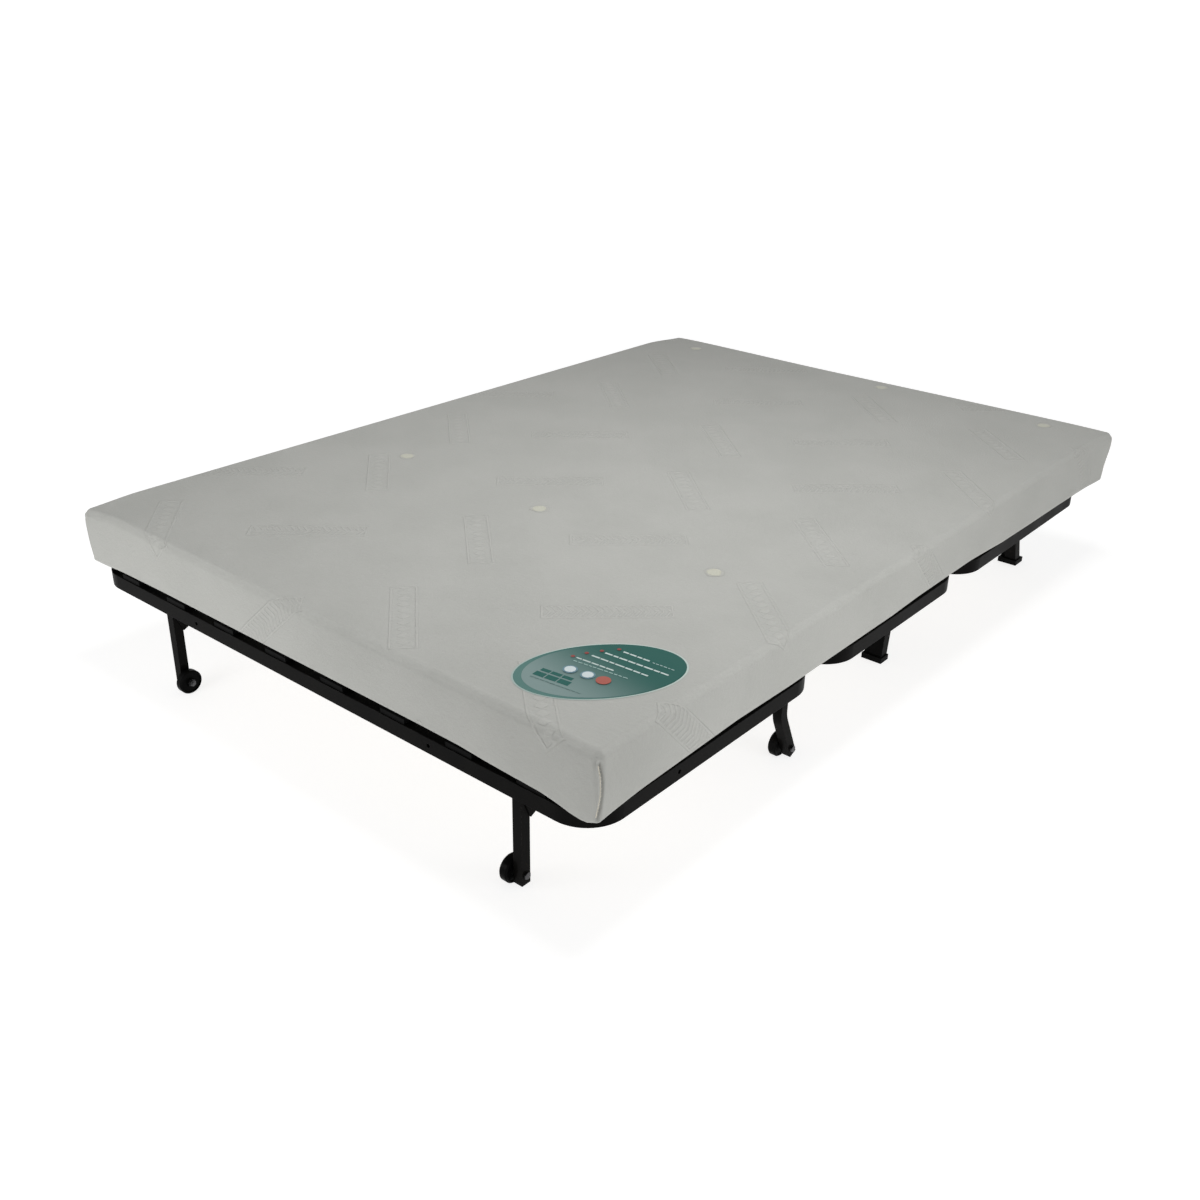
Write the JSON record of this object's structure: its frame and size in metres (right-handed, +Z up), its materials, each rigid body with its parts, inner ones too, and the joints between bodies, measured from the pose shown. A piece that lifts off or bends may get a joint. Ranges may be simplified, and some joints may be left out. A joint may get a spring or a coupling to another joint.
{
  "type": "folding guest bed",
  "caption": "Folding guest bed: wheeled steel tube base in hinged slatted sections that fold up like an accordion, under a one-piece off-white foam mattress.",
  "frame": {"origin": "on the floor, under the middle of the mattress", "axes": "+Z up, +Y towards the head end, -Y towards the wheeled front end, +X to the right of a person who looks along +Y"},
  "size_m": [1.4, 2, 0.373],
  "materials": {
    "black_steel": "satin black powder coat on bent steel tube",
    "zinc": "bright zinc-plated bolts, washers and pins",
    "black_plastic": "moulded black plastic",
    "wheel_plastic": "hard black plastic wheels",
    "birch": "clear-lacquered laminated birch",
    "ticking": "off-white stretch knit over foam"
  },
  "bodies": {
    "front_section": {"front_frame": "black_steel", "front_slats": "birch", "front_slat_holders": "black_plastic", "front_edge_rods": "black_steel", "front_leg_left": "black_steel", "front_leg_right": "black_steel", "front_leg_brackets": "black_steel", "crank_leg_left": "black_steel", "crank_leg_right": "black_steel", "leg_end_caps": "black_plastic", "wheel_axles": "zinc", "wheel_spacers": "zinc", "fold_hinge_ears": "black_steel", "fold_hinge_pins": "zinc", "mattress_front": "ticking", "mattress_fold": "ticking"},
    "front_left_wheel": {"wheel_front_left": "wheel_plastic"},
    "front_right_wheel": {"wheel_front_right": "wheel_plastic"},
    "rear_left_wheel": {"wheel_rear_left": "wheel_plastic"},
    "rear_right_wheel": {"wheel_rear_right": "wheel_plastic"},
    "middle_section": {"middle_frame": "black_steel", "middle_slats": "birch", "middle_slat_holders": "black_plastic", "middle_edge_rods": "black_steel", "fold_hinge_tongues": "black_steel", "back_hinge_ears": "black_steel", "back_hinge_pins": "zinc", "inner_leg_brackets": "black_steel", "inner_leg_pins": "zinc", "mattress_middle": "ticking"},
    "rear_section": {"rear_frame": "black_steel", "rear_cross_tube": "black_steel", "rear_slats": "birch", "rear_slat_holders": "black_plastic", "rear_edge_rods": "black_steel", "back_hinge_tongues": "black_steel", "outer_leg_brackets": "black_steel", "outer_leg_pins": "zinc", "mattress_rear": "ticking"},
    "inner_support": {"inner_support_leg": "black_steel", "inner_feet": "black_plastic"},
    "outer_support": {"outer_support_leg": "black_steel", "outer_feet": "black_plastic"}
  },
  "joints": [
    {"name": "middle_fold", "type": "hinge", "parent": "front_section", "child": "middle_section", "pos_m": [0, -0.332, 0.229], "axis": [1, 0, 0], "range_deg": [0, 85], "deforming": ["mattress_fold"]},
    {"name": "rear_fold", "type": "hinge", "parent": "middle_section", "child": "rear_section", "pos_m": [0, 0.2325, 0.204], "axis": [-1, 0, 0], "range_deg": [0, 161.5]},
    {"name": "inner_support_fold", "type": "hinge", "parent": "middle_section", "child": "inner_support", "pos_m": [0, 0.186, 0.229], "axis": [-1, 0, 0], "range_deg": [0, 78]},
    {"name": "outer_support_fold", "type": "hinge", "parent": "rear_section", "child": "outer_support", "pos_m": [0, 0.812, 0.229], "axis": [-1, 0, 0], "range_deg": [0, 104]},
    {"name": "front_left_wheel_spin", "type": "hinge", "parent": "front_section", "child": "front_left_wheel", "pos_m": [-0.473, -0.952, 0.026], "axis": [1, 0, 0], "continuous": true},
    {"name": "front_right_wheel_spin", "type": "hinge", "parent": "front_section", "child": "front_right_wheel", "pos_m": [0.473, -0.952, 0.026], "axis": [1, 0, 0], "continuous": true},
    {"name": "rear_left_wheel_spin", "type": "hinge", "parent": "front_section", "child": "rear_left_wheel", "pos_m": [-0.594, -0.32426, 0.026], "axis": [1, 0, 0], "continuous": true},
    {"name": "rear_right_wheel_spin", "type": "hinge", "parent": "front_section", "child": "rear_right_wheel", "pos_m": [0.594, -0.32426, 0.026], "axis": [1, 0, 0], "continuous": true}
  ],
  "couplings": [
    {"joint": "rear_fold", "follows": "middle_fold", "ratio": 1.9},
    {"joint": "inner_support_fold", "follows": "middle_fold", "ratio": 0.91765},
    {"joint": "outer_support_fold", "follows": "middle_fold", "ratio": 1.2235}
  ]
}
